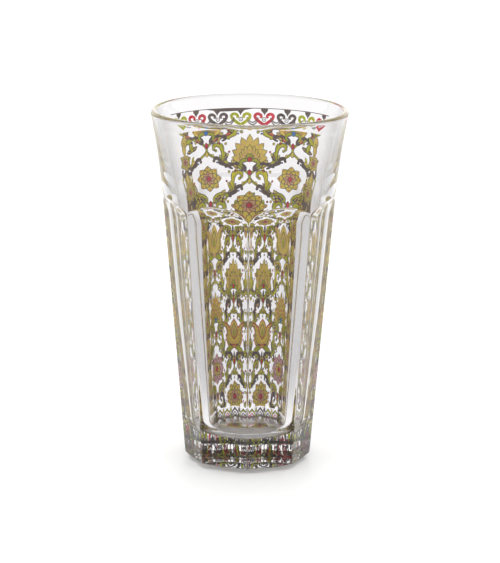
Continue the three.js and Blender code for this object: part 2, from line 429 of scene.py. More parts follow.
# %% The tree that presses the panels
CURL_END = 0.985  # the scoop's quarter circle is followed up to this share of its radius
CURL_AWAY = 50.0  # then the panel's surface leaves steeply, clear of the round wall
press, blank_geometry, size = start_tree(
    "press_panels",
    panels="whole",
    foot_radius="number",
    ridge_slope="number",
    arch_height="number",
    scoop_radius="number",
    heel_radius="number",
    contact_radius="number",
    heel_slope="number",
    heel_softness="number",
    ridge_softness="number",
    arch_softness="number",
    material="material",
)
x, y, z = split_position(press)

# %% Pressing: one panel in place of eight
half = math_node(press, "DIVIDE", math.pi, size["panels"])
angle = math_node(press, "ARCTAN2", y, x)
folded = math_node(press, "FLOORED_MODULO", angle, half * 2) - half
aside = math_node(press, "ABSOLUTE", folded)
blank_radius = math_node(press, "SQRT", x * x + y * y)

squeeze = math_node(press, "COSINE", half)
slope = size["ridge_slope"] * squeeze
lean = math_node(press, "ARCTANGENT", slope)
straight = (size["foot_radius"] * squeeze) + slope * z

# %% Pressing: the scoop at the panel's top
scoop = size["scoop_radius"]
arch_wall = (size["foot_radius"] * squeeze) + slope * size["arch_height"]
scoop_x = arch_wall + scoop * math_node(press, "COSINE", lean)
scoop_z = size["arch_height"] - scoop * math_node(press, "SINE", lean)
lift = z - scoop_z
inside_root = math_node(press, "MAXIMUM", scoop * scoop - lift * lift, 0.0)
curl = scoop_x - math_node(press, "SQRT", inside_root)
beyond = math_node(press, "MAXIMUM", lift - scoop * CURL_END, 0.0) * CURL_AWAY
above = math_node(press, "GREATER_THAN", z, size["arch_height"])
flat_wall = straight + (curl + beyond - straight) * above

# %% Pressing: the heel, the ridges and the cone under the foot
heel = size["heel_radius"]
in_heel = heel - math_node(press, "MINIMUM", z, heel)
heel_root = math_node(press, "MAXIMUM", heel * heel - in_heel * in_heel, 0.0)
panel_wall = flat_wall + math_node(press, "SQRT", heel_root) - heel

this_panel = panel_wall / math_node(press, "COSINE", aside)
next_panel = panel_wall / math_node(press, "COSINE", half * 2 - aside)
ridged = math_node(press, "SMOOTH_MIN", this_panel, next_panel, size["ridge_softness"])
under_wall = size["contact_radius"] + size["heel_slope"] * z
ridged = math_node(press, "SMOOTH_MIN", ridged, under_wall, size["heel_softness"])
pressed = math_node(press, "SMOOTH_MIN", ridged, blank_radius, size["arch_softness"])
share = pressed / blank_radius

# %% Pressing: move the outside points
marked = press.nodes.new("GeometryNodeInputNamedAttribute")
marked.data_type = "FLOAT"
marked.inputs["Name"].default_value = "outside"
outside_only = math_node(press, "GREATER_THAN", Field(press, marked.outputs["Attribute"]), 0.5)
move = press.nodes.new("GeometryNodeSetPosition")
press.links.new(blank_geometry, move.inputs["Geometry"])
press.links.new(outside_only.socket, move.inputs["Selection"])
press.links.new(join_vector(press, x * share, y * share, z), move.inputs["Position"])
end_tree(press, move.outputs["Geometry"], size["material"])
print("press_panels:", len(press.nodes), "nodes")

# %% Press the glass
HEEL_SOFTNESS = 0.6
RIDGE_SOFTNESS = 0.35
ARCH_SOFTNESS = 0.5
run_tree(
    glass,
    press,
    panels=PANELS,
    foot_radius=FOOT_RADIUS * MM,
    ridge_slope=RIDGE_SLOPE,
    arch_height=ARCH_HEIGHT * MM,
    scoop_radius=SCOOP_RADIUS * MM,
    heel_radius=HEEL_RADIUS * MM,
    contact_radius=CONTACT_RADIUS * MM,
    heel_slope=HEEL_SLOPE,
    heel_softness=HEEL_SOFTNESS * MM,
    ridge_softness=RIDGE_SOFTNESS * MM,
    arch_softness=ARCH_SOFTNESS * MM,
    material=clear_glass,
)
glass.data.shade_smooth()
print("glass:", len(glass.data.polygons), "faces, widest", round(glass.dimensions.x / MM, 2), "mm")

# %% [markdown]
# The print is a ceramic transfer: flat areas of coloured enamel with thin dark edges, fired into the
# surface of the glass. Painting it with a shader would need hundreds of shapes as formulas, and an
# image isn't used here. So the shapes are drawn on a flat sheet as outlines, cut from it like
# stencils, and laid on the wall. All drawing below is in millimetres: across the wall, and up.

# %% Outlines: paths and strokes
TAU = 2 * math.pi


def through(points, steps=6):
    """A smooth path through the points."""
    p = np.asarray(points, float)
    p = np.vstack([2 * p[0] - p[1], p, 2 * p[-1] - p[-2]])
    share = (np.arange(steps) / steps)[:, None]
    path = []
    for a, b, c, d in zip(p[:-3], p[1:-2], p[2:-1], p[3:]):
        path.append(
            b
            + 0.5 * share * (c - a)
            + share**2 * (a - 2.5 * b + 2 * c - 0.5 * d)
            + share**3 * (1.5 * (b - c) + 0.5 * (d - a))
        )
    path.append(p[-2][None, :])
    return np.concatenate(path)


def sideways(path):
    """Unit vectors to the left of a path's direction."""
    along = np.gradient(np.asarray(path, float), axis=0)
    along /= np.maximum(np.linalg.norm(along, axis=1), 1e-9)[:, None]
    return np.column_stack([-along[:, 1], along[:, 0]])


def ribbon(path, width):
    """The outline of a stroke along a path. The width is one number or one for each point."""
    path = np.asarray(path, float)
    half_width = np.broadcast_to(np.asarray(width, float) / 2, len(path))[:, None]
    left = path + sideways(path) * half_width
    right = path - sideways(path) * half_width
    return np.concatenate([left, right[::-1]])


def taper(count, thick, thin=0.25, rise=0.25):
    """Widths of a brush stroke that swells from thin to thick and runs out thin."""
    share = np.linspace(0, 1, count)
    body = np.minimum(share / rise, 1) * (1 - share) ** 0.6
    return thin + (thick - thin) * body


# %% Outlines: growing, placing and dots


def area(loop):
    """Signed area of an outline, positive when it runs anticlockwise."""
    x, y = np.asarray(loop, float).T
    return 0.5 * float(np.sum(x * np.roll(y, -1) - y * np.roll(x, -1)))


def grow(outline, distance):
    """Moves an outline outwards by the distance."""
    loop = np.asarray(outline, float)
    before = loop - np.roll(loop, 1, axis=0)
    after = np.roll(loop, -1, axis=0) - loop
    normal = np.zeros_like(loop)
    for edge in (before, after):
        length = np.maximum(np.linalg.norm(edge, axis=1), 1e-9)[:, None]
        normal += np.column_stack([edge[:, 1], -edge[:, 0]]) / length
    size = np.maximum(np.linalg.norm(normal, axis=1), 0.7)[:, None]
    return loop + normal / size * distance * math.copysign(1, area(loop))


def place(outline, at=(0, 0), turn=0.0, scale=1.0, flip=False):
    """Scales, flips, turns (in degrees) and moves an outline."""
    loop = np.asarray(outline, float) * scale  # one scale, or one across and one up
    if flip:
        loop = loop * (-1, 1)
    c = math.cos(math.radians(turn))
    s = math.sin(math.radians(turn))
    return loop @ np.array([[c, s], [-s, c]]) + np.asarray(at, float)


def disk(radius, at=(0, 0), steps=14):
    """A round dot, as a loop of points."""
    turn = np.arange(steps) * TAU / steps
    return np.column_stack([np.cos(turn), np.sin(turn)]) * radius + np.asarray(at, float)


print("a 10 mm dot has an area of", round(area(disk(5)), 1), "square mm")

# %% Outlines: petals, leaves and scrolls


def petal(length, width, point=0.75, steps=9):
    """A petal that stands on the origin. A higher point value puts its widest part further out."""
    share = np.linspace(0, 1, steps)
    half_width = width / 2 * np.sin(math.pi * share ** (1 / point / 1.2)) ** 0.8
    right = np.column_stack([half_width, share * length])
    left = (right * (-1, 1))[::-1]
    return np.concatenate([right, left[1:-1]])


def lobed_leaf(length, width, lobes=4, depth=0.45, curve=0.0):
    """A leaf with lobed sides, growing upwards from the origin, bent sideways by the curve."""
    share = np.linspace(0, 1, lobes * 6 + 1)
    lobe = np.abs(np.sin(math.pi * lobes * share)) ** 0.7
    body = np.sin(math.pi * np.clip(share, 0.03, 1) ** 0.75)
    half_width = width / 2 * body * (1 - depth + depth * lobe)
    half_width[-1] = 0
    forward = share + 0.35 / lobes * lobe * (1 - share)
    left = np.column_stack([half_width, forward * length])
    right = left * (-1, 1)
    loop = np.concatenate([left, right[::-1][1:-1]])
    bent = loop[:, 0] + curve * loop[:, 1] ** 2 / length
    return np.column_stack([bent, loop[:, 1]])


def scroll(start, reach, turns, direction=1, heading=90.0, steps=26):
    """The path of a tendril that leaves start on a heading and curls up into a spiral."""
    share = np.linspace(0, 1, steps)
    bearing = math.radians(heading) + direction * TAU * turns * share**1.5
    pace = reach / steps * (1 - 0.72 * share)
    stepsize = np.column_stack([np.cos(bearing), np.sin(bearing)]) * pace[:, None]
    return np.asarray(start, float) + np.cumsum(stepsize, axis=0)


# %% [markdown]
# A stencil is a list of shapes in painting order, each with its colour of enamel. Where shapes
# overlap, the later one covers. A real transfer is printed so that the colours meet and don't lie
# on each other, and it looks the same from both sides of the glass. A Delaunay cut of all outlines
# at once gives just that: triangles that know which shapes cover them, of which the last one wins.
# Outlines that lie hidden under others would leave the sheet in tiny splinters. So the lines where
# two inks meet are taken from that first cut, thinned, and cut again by themselves.

# %% Lines and points that let the sheet bend
CUT_GRID = 1.25


def fold_lines(low, high, reach):
    """Where the wall's ridges run on the flat sheet, as pairs of points."""
    lines = []
    top = min(high, ARCH_HEIGHT)
    if low >= top:
        return lines
    heights = np.linspace(low, top, max(2, int((top - low) / 2)))
    for ridge in (-math.pi / 4, 0.0, math.pi / 4):
        across = ridge * ridge_radius(heights)
        if np.all(np.abs(across) < reach):
            lines.append(np.column_stack([across, heights]))
    return lines


def grid(low, high, reach):
    """Loose points all over the sheet, so that it can bend round the wall."""
    points = []
    for i, height in enumerate(np.arange(low + 0.3, high, CUT_GRID * 0.87)):
        shift = (i % 2) * CUT_GRID / 2
        row = np.arange(-reach + 0.2 + shift, reach, CUT_GRID)
        points.extend((across, height) for across in row)
    return points


print("grid points in a square of 10 mm:", len(grid(0, 10, 5)))

# %% The first cut, along every outline
MERGE_DISTANCE = 1e-4


def first_cut(shapes, low, high, reach):
    """Cuts along every outline. Returns points, the printed triangles and the ink of each."""
    points = []
    faces = []
    for _, outline in shapes:
        loop = outline if area(outline) > 0 else outline[::-1]
        start = len(points)
        points.extend(map(tuple, loop))
        faces.append(list(range(start, len(points))))
    frame_corners = [(-reach, low), (reach, low), (reach, high), (-reach, high)]
    start = len(points)
    points.extend(frame_corners)
    edges = [(start + i, start + (i + 1) % 4) for i in range(4)]
    made = delaunay_2d_cdt([Vector(p) for p in points], edges, faces, 0, MERGE_DISTANCE, True)
    flat = np.array([tuple(p) for p in made[0]])
    triangles = []
    inks = []
    for triangle, origin in zip(made[2], made[5]):
        ink = shapes[max(origin)][0] if origin else "bare"
        middle = flat[list(triangle)].mean(axis=0)
        if ink != "bare" and abs(middle[0]) < reach and low < middle[1] < high:
            triangles.append(list(triangle))
            inks.append(ink)
    return flat, triangles, inks


# %% Finding the outlines that show


def ink_edges(triangles, inks):
    """The edges with a different ink, or none, on their other side."""
    sides = {}
    for triangle, ink in zip(triangles, inks):
        for a, b in zip(triangle, triangle[1:] + triangle[:1]):
            sides.setdefault((min(a, b), max(a, b)), []).append(ink)
    return [edge for edge, both in sides.items() if len(both) == 1 or both[0] != both[1]]


def runs(pairs):
    """Runs of edges, each from one branching point to the next, or right round a loop."""
    beside = {}
    for a, b in pairs:
        beside.setdefault(a, []).append(b)
        beside.setdefault(b, []).append(a)
    walked = set()
    found = []
    branching = [point for point, others in beside.items() if len(others) != 2]
    for start in branching + list(beside):
        for after in beside[start]:
            if (start, after) in walked:
                continue
            run = [start, after]
            walked.update([(start, after), (after, start)])
            while run[-1] != start and len(beside[run[-1]]) == 2:
                a, b = beside[run[-1]]
                step = b if a == run[-2] else a
                walked.update([(run[-1], step), (step, run[-1])])
                run.append(step)
            found.append(run)
    return found


# %% Thinning an outline
CHAIN_TOLERANCE = 0.02


def thinned(run, flat):
    """The points of a run that its line can't do without."""
    p = flat[run]
    keep = {0, len(run) - 1}
    parts = [(0, len(run) - 1)]
    while parts:
        a, b = parts.pop()
        if b - a < 2:
            continue
        chord = p[b] - p[a]
        away = p[a + 1 : b] - p[a]
        length = math.hypot(*chord)
        if length < 1e-6:
            distance = np.hypot(away[:, 0], away[:, 1])
        else:
            distance = np.abs(away[:, 0] * chord[1] - away[:, 1] * chord[0]) / length
        worst = int(np.argmax(distance))
        if distance[worst] > CHAIN_TOLERANCE:
            middle = a + 1 + worst
            keep.add(middle)
            parts += [(a, middle), (middle, b)]
    return [run[i] for i in sorted(keep)]


circle = disk(5, steps=200)
print("a circle of 200 points keeps", len(thinned(list(range(200)), circle)))

# %% Patches that lie between the outlines


def patches(triangles, walls):
    """Groups of triangles that no wall parts from each other."""
    sharing = {}
    for i, triangle in enumerate(triangles):
        for a, b in zip(triangle, triangle[1:] + triangle[:1]):
            edge = (min(a, b), max(a, b))
            if edge not in walls:
                sharing.setdefault(edge, []).append(i)
    beside = [[] for _ in triangles]
    for both in sharing.values():
        if len(both) == 2:
            beside[both[0]].append(both[1])
            beside[both[1]].append(both[0])
    seen = [False] * len(triangles)
    found = []
    for i in range(len(triangles)):
        if seen[i]:
            continue
        seen[i] = True
        patch = [i]
        for member in patch:
            for other in beside[member]:
                if not seen[other]:
                    seen[other] = True
                    patch.append(other)
        found.append(patch)
    return found


# %% The second cut, along the thinned outlines only
LONGEST_STEP = 1.6  # a longer straight edge would cut across the round wall


def chains(flat, pairs):
    """The thinned outlines as points and edges, in steps short enough to follow the wall."""
    index = {}
    points = []
    edges = []
    for run in runs(pairs):
        corners = thinned(run, flat)
        for corner in corners:
            if corner not in index:
                index[corner] = len(points)
                points.append(tuple(flat[corner]))
        for a, b in zip(corners, corners[1:]):
            steps = math.ceil(math.dist(flat[a], flat[b]) / LONGEST_STEP)
            chain = [index[a]]
            for share in np.arange(1, steps) / max(steps, 1):
                chain.append(len(points))
                points.append(tuple(flat[a] + (flat[b] - flat[a]) * share))
            chain.append(index[b])
            edges.extend((c, d) for c, d in zip(chain, chain[1:]) if c != d)
    return points, edges


# %% The whole cut


def cut(shapes, low, high, reach):
    """Cuts the shapes to one layer of triangles. Returns points, triangles and the ink of each."""
    flat, triangles, inks = first_cut(shapes, low, high, reach)
    lookup = BVHTree.FromPolygons([(u, v, 0.0) for u, v in flat], triangles)
    points, edges = chains(flat, ink_edges(triangles, inks))
    wall_count = len(edges)
    for line in fold_lines(low, high, reach):
        start = len(points)
        points.extend(map(tuple, line))
        edges.extend((start + i, start + i + 1) for i in range(len(line) - 1))
    points.extend(grid(low, high, reach))
    made = delaunay_2d_cdt([Vector(p) for p in points], edges, [], 0, MERGE_DISTANCE, True)
    new_flat = np.array([tuple(p) for p in made[0]])
    walls = set()
    for edge, origin in zip(made[1], made[4]):
        if origin and min(origin) < wall_count:
            walls.add((min(edge), max(edge)))
    new_triangles = [list(triangle) for triangle in made[2]]
    corners = new_flat[np.array(new_triangles)]
    sizes = np.abs(np.cross(corners[:, 1] - corners[:, 0], corners[:, 2] - corners[:, 0]))
    result = []
    result_inks = []
    for patch in patches(new_triangles, walls):
        largest = max(patch, key=lambda i: sizes[i])
        u, v = corners[largest].mean(axis=0)
        hit = lookup.ray_cast(Vector((u, v, 1.0)), Vector((0.0, 0.0, -1.0)))[2]
        if hit is not None:
            result.extend(new_triangles[i] for i in patch)
            result_inks.extend([inks[hit]] * len(patch))
    return new_flat, result, result_inks


# %% From a cut to a closed film
FILM_HALF = 0.02


def film(name, flat, triangles):
    """A thin closed film from some of the cut's triangles, still lying flat."""
    used = sorted({i for triangle in triangles for i in triangle})
    index = {old: new for new, old in enumerate(used)}
    count = len(used)
    near = [(flat[i][0], -FILM_HALF, flat[i][1]) for i in used]
    far = [(flat[i][0], FILM_HALF, flat[i][1]) for i in used]
    faces = []
    rims = {}
    for triangle in triangles:
        a, b, c = (index[i] for i in triangle)
        faces.append((a, b, c))
        faces.append((c + count, b + count, a + count))
        for edge in ((a, b), (b, c), (c, a)):
            if edge[::-1] in rims:
                del rims[edge[::-1]]
            else:
                rims[edge] = True
    for a, b in rims:
        faces.append((a, a + count, b + count, b))
    return new_piece(name, near + far, faces)


# %% [markdown]
# Laying a flat print on the wall is a job for Geometry Nodes, because the print has to follow a
# surface. For each point the tree casts two rays inwards at the glass: one at the middle of the
# back, which tells how wide the wall is at that height and so how far round a millimetre of print
# goes, and one in the direction that follows from it, which finds the wall itself, panel, ridge or
# scoop. The film ends up a few hundredths of a millimetre inside the skin, in contact with the
# glass, as fired enamel is.

# %% The tree that lays a flat print on the wall
RAY_START = 60 * MM

lay, sheet_geometry, lay_in = start_tree(
    "lay_on_wall", wall="object", turn="number", sink="number", material="material"
)
wall_info = lay.nodes.new("GeometryNodeObjectInfo")
wall_info.transform_space = "ORIGINAL"
lay.links.new(lay_in["wall"].socket, wall_info.inputs["Object"])


def cast(tree, target, source, direction):
    """The distance at which rays from the source hit the target."""
    ray = tree.nodes.new("GeometryNodeRaycast")
    tree.links.new(target, ray.inputs["Target Geometry"])
    tree.links.new(source, ray.inputs["Source Position"])
    tree.links.new(direction, ray.inputs["Ray Direction"])
    ray.inputs["Ray Length"].default_value = RAY_START
    return Field(tree, ray.outputs["Hit Distance"])


across, depth, up = split_position(lay)
wall = wall_info.outputs["Geometry"]
back_source = join_vector(lay, 0.0, RAY_START, up)
back_way = join_vector(lay, 0.0, -1.0, 0.0)
back_radius = math_node(lay, "SUBTRACT", RAY_START, cast(lay, wall, back_source, back_way))
round_angle = across / back_radius + lay_in["turn"]
east = math_node(lay, "SINE", round_angle)
north = math_node(lay, "COSINE", round_angle)
side_source = join_vector(lay, east * RAY_START, north * RAY_START, up)
side_way = join_vector(lay, east * -1.0, north * -1.0, 0.0)
side_radius = math_node(lay, "SUBTRACT", RAY_START, cast(lay, wall, side_source, side_way))
laid_radius = side_radius - lay_in["sink"] + depth
lay_move = lay.nodes.new("GeometryNodeSetPosition")
lay.links.new(sheet_geometry, lay_move.inputs["Geometry"])
laid = join_vector(lay, east * laid_radius, north * laid_radius, up)
lay.links.new(laid, lay_move.inputs["Position"])
end_tree(lay, lay_move.outputs["Geometry"], lay_in["material"])
print("lay_on_wall:", len(lay.nodes), "nodes")

# %% [markdown]
# Fired enamel is a coloured glass paste: opaque, glossy, and a little uneven in tone where the paste
# was thinner. Each colour gets its own finish with a fine grain and a soft cloudiness.

# %% Enamel colours
INKS = {
    "charcoal": (0.14, 0.10, 0.082),
    "olive": (0.54, 0.57, 0.012),
    "leaf_yellow": (0.86, 0.78, 0.02),
    "crimson": (0.72, 0.035, 0.06),
    "ochre": (0.94, 0.72, 0.10),
    "terracotta": (0.84, 0.46, 0.22),
    "pink": (0.90, 0.52, 0.55),
    "blue": (0.05, 0.24, 0.68),
    "umber": (0.055, 0.042, 0.034),
    "maroon": (0.26, 0.015, 0.024),
    "moss": (0.34, 0.36, 0.012),
}
for slot_name, slot_inks in (
    ("charcoal_enamel", ("charcoal", "blue", "umber")),
    ("green_enamel", ("olive", "leaf_yellow", "moss")),
    ("red_enamel", ("crimson", "pink", "maroon")),
    ("ochre_enamel", ("ochre", "terracotta")),
):
    dict.fromkeys(slot_inks, slot_name)

# %% The finish of an enamel
CLOUD_SCALE = 160.0
CLOUD_TONES = ((0.3, 0.86), (0.7, 1.1))  # place on the ramp, and tone there
PALEST = 0.96
ENAMEL_ROUGHNESS = 0.3
GRAIN_SCALE = 1500.0
GRAIN_HEIGHT = 0.01 * MM


def enamel(name, colour):
    """Glossy opaque enamel with a cloudy tone and a fine grain."""
    material = bpy.data.materials.new(name + "_enamel")
    material.use_nodes = True
    tree = material.node_tree
    shader = tree.nodes["Principled BSDF"]
    cloud = noise_node(tree, CLOUD_SCALE, 5.0)
    tone = tree.nodes.new("ShaderNodeValToRGB")
    for stop, (spot, factor) in zip(tone.color_ramp.elements, CLOUD_TONES):
        stop.position = spot
        stop.color = (*[min(PALEST, c * factor) for c in colour], 1)
    tree.links.new(cloud.outputs["Fac"], tone.inputs["Fac"])
    tree.links.new(tone.outputs["Color"], shader.inputs["Base Color"])
    shader.inputs["Roughness"].default_value = ENAMEL_ROUGHNESS
    grain = noise_node(tree, GRAIN_SCALE)
    add_bump(tree, shader, grain, GRAIN_HEIGHT, 0.3)
    return material


ENAMELS = {name: enamel(name, colour) for name, colour in INKS.items()}
print("enamels:", len(ENAMELS))

# %% Laying the shapes of one print
SINK = 0.06 * MM  # how deep the film's middle lies under the skin of the glass
PRINT_REACH = 40.5  # half the print's width along the wall


def lay_print(title, shapes, low, high, reach=PRINT_REACH, turn=0.0):
    """Cuts a print and lays it on the wall, as one piece for each colour. Returns the pieces.

    A shape whose ink is "bare" leaves the glass clear there.
    """
    flat, triangles, inks = cut(shapes, low, high, reach)
    by_ink = {}
    for triangle, ink in zip(triangles, inks):
        by_ink.setdefault(ink, []).append(triangle)
    made = {}
    for ink, share_of in by_ink.items():
        piece = film(f"{title}_{ink}", flat, share_of)
        placing = {"turn": math.radians(turn), "sink": SINK, "material": ENAMELS[ink]}
        run_tree(piece, lay, wall=glass, **placing)
        made[ink] = piece
        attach(piece, "root")
    print(title, {ink: len(piece.data.polygons) for ink, piece in made.items()})
    return made


# %% [markdown]
# Along the top of the print runs a row of hearts, a common border figure, in three colours by turns.
# Each is a thick stroke that curls in on itself at the notch. In the frame every heart is a part of
# its own, so each one is cut and laid as its own small print, turned to its place.

# %% The hearts
HEARTS = 8
HEART_PITCH = 15.0  # degrees
HEART_TURN = 1.6  # degrees by which the whole row is off the middle
HEART_LOW = 131.1
HEART_REACH = 5.0
HEART_INKS = ("olive", "crimson", "charcoal")

heart_points = [(0, 0.8), (1.9, 2.0), (3.5, 3.3), (3.95, 4.6)]
heart_points += [(2.9, 5.3), (1.6, 4.95), (1.15, 4.1), (1.9, 3.8)]
heart_side = through(heart_points, 5)
heart_marks = [0, 12, 26, 35]
heart_widths = np.interp(np.arange(len(heart_side)), heart_marks, [1.35, 1.3, 1.2, 0.75])
heart_stroke = ribbon(heart_side, heart_widths)


def heart_shapes(ink):
    """One heart with a small ring and dot inside it, standing on a height of nought."""
    shapes = []
    for flip in (False, True):
        shapes.append((ink, place(heart_stroke, flip=flip)))
    shapes.append((ink, disk(0.8, (0, 0.8))))
    for size, tone in ((0.95, "charcoal"), (0.62, "bare"), (0.28, "charcoal")):
        shapes.append((tone, disk(size, (0, 3.1), 12)))
    return shapes


def heart_angle(number):
    """Where a heart's middle lies, in degrees. Half numbers lie between two hearts."""
    return (number - (HEARTS - 1) / 2) * HEART_PITCH + HEART_TURN


for number in range(HEARTS):
    turned = heart_angle(number)
    heart_ink = HEART_INKS[number % len(HEART_INKS)]
    lifted = [(ink, place(loop, (0, HEART_LOW))) for ink, loop in heart_shapes(heart_ink)]
    title = f"heart_{number + 1}"
    heart = lay_print(title, lifted, HEART_LOW - 0.5, HEART_LOW + 6.5, HEART_REACH, turned)
    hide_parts(f"heart_print_{number + 1}")

# %% The line along the top edge, with a bud hanging over each heart
PRINT_TOP = 139.0
LINE_HEIGHT = PRINT_TOP - 0.35
LINE_STEPS = 160
top_radius = float(round_radius(PRINT_TOP))


def bud(length, width):
    """A hanging bud with broad shoulders that narrows to its point."""
    shoulder = (width * 0.52, -0.3 * length)
    side = through([(width / 2, 0), shoulder, (0.5, -0.68 * length), (0, -length)], 4)
    return np.concatenate([side, (side[:-1] * (-1, 1))[::-1]])


def heart_place(number):
    """How far along the wall a heart's middle lies."""
    return math.radians(heart_angle(number)) * top_radius


def level_line(height, steps):
    """A level path from one side of the print to the other."""
    across_all = np.linspace(-PRINT_REACH, PRINT_REACH, steps)
    return np.column_stack([across_all, np.full(steps, height)])


top_shapes = [("charcoal", ribbon(level_line(LINE_HEIGHT, LINE_STEPS), 0.3))]
dash = through([(-20, 0), (-17, -0.5), (-12, -1.2), (-4, -1.0), (0, -0.35), (2.5, 0)], 6)
dash = dash + (0, LINE_HEIGHT)
flat_side = dash[::-1] * (1, 0) + (0, LINE_HEIGHT)
top_shapes.append(("charcoal", np.concatenate([dash, flat_side])))
for number in range(HEARTS):
    top_shapes.append(("charcoal", place(bud(2.9, 2.8), (heart_place(number), LINE_HEIGHT))))
for number in range(HEARTS - 1):
    for drop in (0.0, 0.95):
        chevron = through([(-2.5, 2.9), (-1.3, 1.5), (0, 0.9), (1.3, 1.5), (2.5, 2.9)], 3)
        chevron = chevron + (heart_place(number + 0.5), HEART_LOW + 0.9 - drop)
        top_shapes.append(("charcoal", ribbon(chevron, 0.5)))
top_line = lay_print("top_line", top_shapes, HEART_LOW - 1.0, PRINT_TOP)
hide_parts("top_line_print")

# %% [markdown]
# The main field is an ogee lattice, an old textile pattern: wavy stems that meet and part, with a
# flower standing in each opening. One opening is drawn for each kind of flower, and a node tree
# repeats it in rows and columns.

# %% The tree that repeats a drawing
repeat, motif_geometry, rep = start_tree(
    "repeat_in_rows",
    columns="whole",
    rows="whole",
    column_pitch="number",
    row_pitch="number",
    first_column="number",
    first_row="number",
    material="material",
)


def spread(tree, count, pitch, first, axis):
    """A row of points along one axis."""
    line = tree.nodes.new("GeometryNodeMeshLine")
    line.mode = "OFFSET"
    start = join_vector(tree, *[first if i == axis else 0.0 for i in range(3)])
    step = join_vector(tree, *[pitch if i == axis else 0.0 for i in range(3)])
    tree.links.new(count.socket, line.inputs["Count"])
    tree.links.new(start, line.inputs["Start Location"])
    tree.links.new(step, line.inputs["Offset"])
    return line.outputs["Mesh"]


def copies(tree, points, instance):
    """Copies of the instance on the points."""
    node = tree.nodes.new("GeometryNodeInstanceOnPoints")
    tree.links.new(points, node.inputs["Points"])
    tree.links.new(instance, node.inputs["Instance"])
    return node.outputs["Instances"]


across_points = spread(repeat, rep["columns"], rep["column_pitch"], rep["first_column"], 0)
up_points = spread(repeat, rep["rows"], rep["row_pitch"], rep["first_row"], 2)
one_row = copies(repeat, across_points, motif_geometry)
all_rows = copies(repeat, up_points, one_row)
end_tree(repeat, all_rows, rep["material"])
print("repeat_in_rows:", len(repeat.nodes), "nodes")

# %% Repeating the shapes of a drawing


def repeated(shapes, columns, rows, pitch, first):
    """The shapes of a drawing, repeated by the tree. Their painting order within it stays."""
    points = []
    faces = []
    for _, outline in shapes:
        start = len(points)
        points.extend((u, 0.0, v) for u, v in outline)
        faces.append(tuple(range(start, len(points))))
    drawing = new_piece("drawing", points, faces)
    mark = drawing.data.attributes.new("shape", "INT", "FACE")
    for i in range(len(shapes)):
        mark.data[i].value = i
    run_tree(
        drawing,
        repeat,
        columns=columns,
        rows=rows,
        column_pitch=pitch[0] * MM,
        row_pitch=pitch[1] * MM,
        first_column=first[0] * MM,
        first_row=first[1] * MM,
        material=ENAMELS["charcoal"],
    )
    mesh = drawing.data
    marks = mesh.attributes["shape"].data
    result = []
    for polygon in mesh.polygons:
        loop = np.array([mesh.vertices[i].co.xz[:] for i in polygon.vertices]) / MM
        result.append((marks[polygon.index].value, loop))
    bpy.data.objects.remove(drawing)
    result.sort(key=lambda row: row[0])
    return [(shapes[i][0], loop) for i, loop in result]


# %% [markdown]
# Every flower and leaf is a pile of simple outlines in painting order: an edge first, then its own
# colour a little smaller on top. Half of a drawing is enough, because these figures are symmetric.

# %% Edges, mirror images and moves
EDGE = 0.34


def edged(ink, outline, edge_ink="charcoal", edge=EDGE):
    """A shape with a thin edge of another colour round it."""
    return [(edge_ink, grow(outline, edge)), (ink, outline)]


def mirrored(shapes):
    """The shapes and their mirror images, side by side in painting order."""
    both = []
    for ink, outline in shapes:
        both.append((ink, outline))
        both.append((ink, outline * (-1, 1)))
    return both


def moved(shapes, at=(0, 0), turn=0.0, scale=1.0):
    """The shapes of a drawing, scaled, turned and moved together."""
    return [(ink, place(loop, at, turn, scale)) for ink, loop in shapes]


# %% The palmette


def palmette(tint="ochre", rib="terracotta", eye="crimson"):
    """A fan of petals in four tiers, like scales, on a pair of volutes."""
    tiers = (
        (12.8, 4.0, (84, 63, 42, 21, 0), "charcoal", tint),
        (10.2, 3.5, (73, 52, 31, 10), rib, tint),
        (7.6, 2.9, (80, 60, 40, 20, 0), "charcoal", tint),
        (5.2, 2.3, (66, 44, 22, 0), rib, tint),
        (3.4, 1.7, (80, 50, 20), "charcoal", "olive"),
    )
    shapes = []
    for length, width, turns, edge_ink, ink in tiers:
        for turn in turns:
            reach = length * (1 - 0.003 * turn)
            loop = place(petal(reach, width, 0.8), turn=turn)
            vein = place(ribbon([(0, reach * 0.86), (0, reach * 0.94)], 0.5), turn=turn)
            tier = edged(ink, loop, edge_ink, 0.3) + [(rib, vein)]
            shapes += mirrored(tier) if turn else tier
    volute = ribbon(scroll((0.6, -0.6), 11.0, 0.62, -1, 15), taper(26, 1.6, 0.7))
    shapes += mirrored(edged("olive", volute))
    shapes += edged(eye, disk(1.1))
    return shapes


print("palmette:", len(palmette()), "shapes")

# %% The tulip


